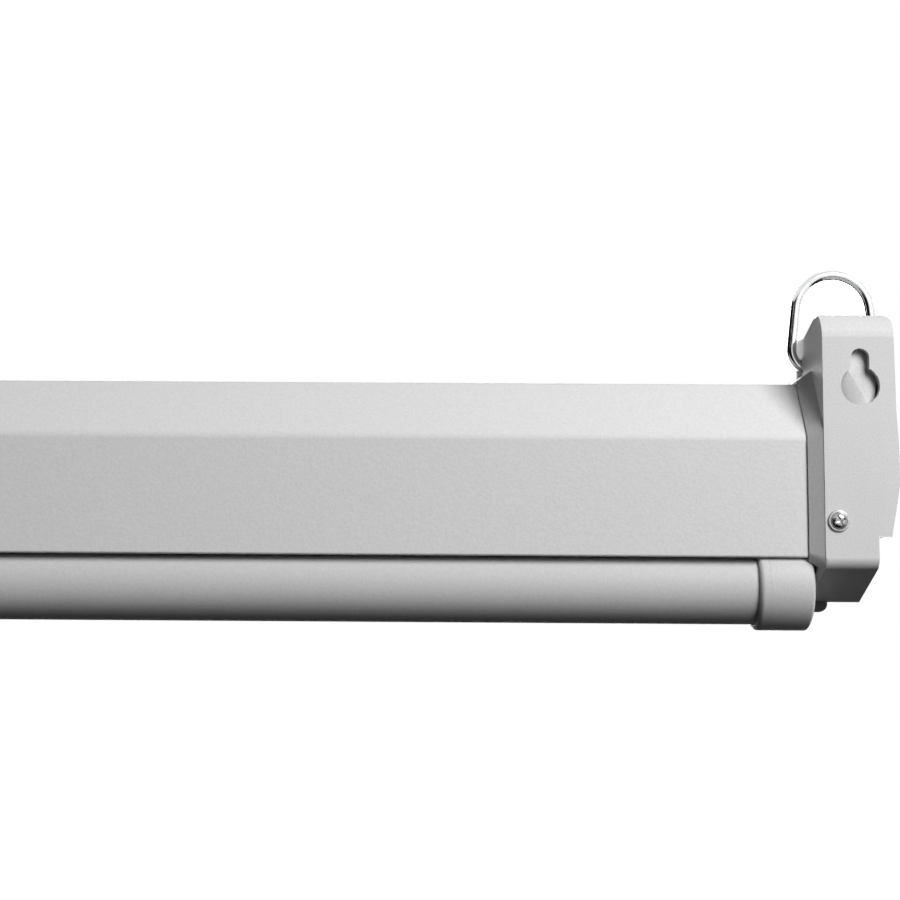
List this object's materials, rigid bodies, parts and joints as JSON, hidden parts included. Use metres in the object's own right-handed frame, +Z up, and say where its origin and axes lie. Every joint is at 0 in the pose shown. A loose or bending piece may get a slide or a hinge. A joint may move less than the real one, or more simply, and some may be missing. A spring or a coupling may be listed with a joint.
{
  "type": "pull down projector screen",
  "caption": "Spring-roller projector screen in a steel case with moulded end caps, hanging rings, keyholes, a weighted slat bar and a pull handle.",
  "frame": {"origin": "mid-length of the case, on the mounting plane that touches the wall, at the height of the screws that the keyholes hang on", "axes": "+X along the case towards the idler end, +Y from the wall through the case towards the room, +Z up"},
  "size_m": [1.3856, 0.0826, 0.2121],
  "materials": {
    "coated_steel": "fine-grained satin powder coat",
    "moulding": "satin, finely textured",
    "plated_wire": "bright plated",
    "plated_steel": "zinc plated, dull",
    "spring_steel": "oiled, dark",
    "nylon": "natural, satin",
    "dark_rubber": "matt",
    "screen_cloth": "matt white",
    "grip": "satin"
  },
  "bodies": {
    "case": {"case_shell": "coated_steel", "end_cap_right": "moulding", "end_cap_left": "moulding", "foot_right": "dark_rubber", "foot_left": "dark_rubber", "cap_screw_right": "plated_wire", "cap_screw_left": "plated_wire", "cap_screw_room_right": "plated_wire", "cap_screw_room_left": "plated_wire", "idler_bracket": "plated_steel", "spring_bracket": "plated_steel", "idler_bush": "nylon", "spring_mandrel": "plated_steel", "lock_wheel": "plated_steel", "torsion_spring": "spring_steel", "spring_anchor": "nylon"},
    "roller": {"roller_tube": "plated_steel", "fabric_spline": "nylon", "wound_fabric": "screen_cloth", "idler_plug": "nylon", "idler_pin": "plated_steel", "spring_plug": "nylon", "pawl_pin": "plated_steel"},
    "pawl": {"lock_pawl": "plated_steel"},
    "slat_bar": {"bar_tube": "coated_steel", "hem_rod": "plated_steel", "bar_cap_right": "moulding", "bar_cap_left": "moulding", "screen_fabric": "screen_cloth", "handle_clip": "moulding", "handle_pin": "plated_steel"},
    "handle": {"pull_handle": "grip"},
    "ring_right": {"hanging_ring_right": "plated_wire"},
    "ring_left": {"hanging_ring_left": "plated_wire"}
  },
  "joints": [
    {"name": "screen_pull", "type": "slide", "parent": "case", "child": "slat_bar", "axis": [0, 0, -1], "range_m": [0, 1], "stiffness_N_per_m": 8, "springref_m": -2, "deforming": ["screen_fabric"]},
    {"name": "roller_turn", "type": "hinge", "parent": "case", "child": "roller", "pos_m": [0, 0.0415, -0.0454], "axis": [1, 0, 0], "range_deg": [0, 2700]},
    {"name": "pawl_swing", "type": "hinge", "parent": "roller", "child": "pawl", "pos_m": [-0.6654, 0.056, -0.0544], "axis": [1, 0, 0], "range_deg": [0, 12]},
    {"name": "handle_swing", "type": "hinge", "parent": "slat_bar", "child": "handle", "pos_m": [0, 0.021, -0.1162], "axis": [1, 0, 0], "range_deg": [-80, 80]},
    {"name": "ring_right_swing", "type": "hinge", "parent": "case", "child": "ring_right", "pos_m": [0.67285, 0.0388, 0.0005], "axis": [1, 0, 0], "range_deg": [-88, 30]},
    {"name": "ring_left_swing", "type": "hinge", "parent": "case", "child": "ring_left", "pos_m": [-0.67285, 0.0388, 0.0005], "axis": [1, 0, 0], "range_deg": [-88, 30]}
  ],
  "couplings": [
    {"joint": "roller_turn", "follows": "screen_pull", "rad_per_m": 47.12}
  ]
}
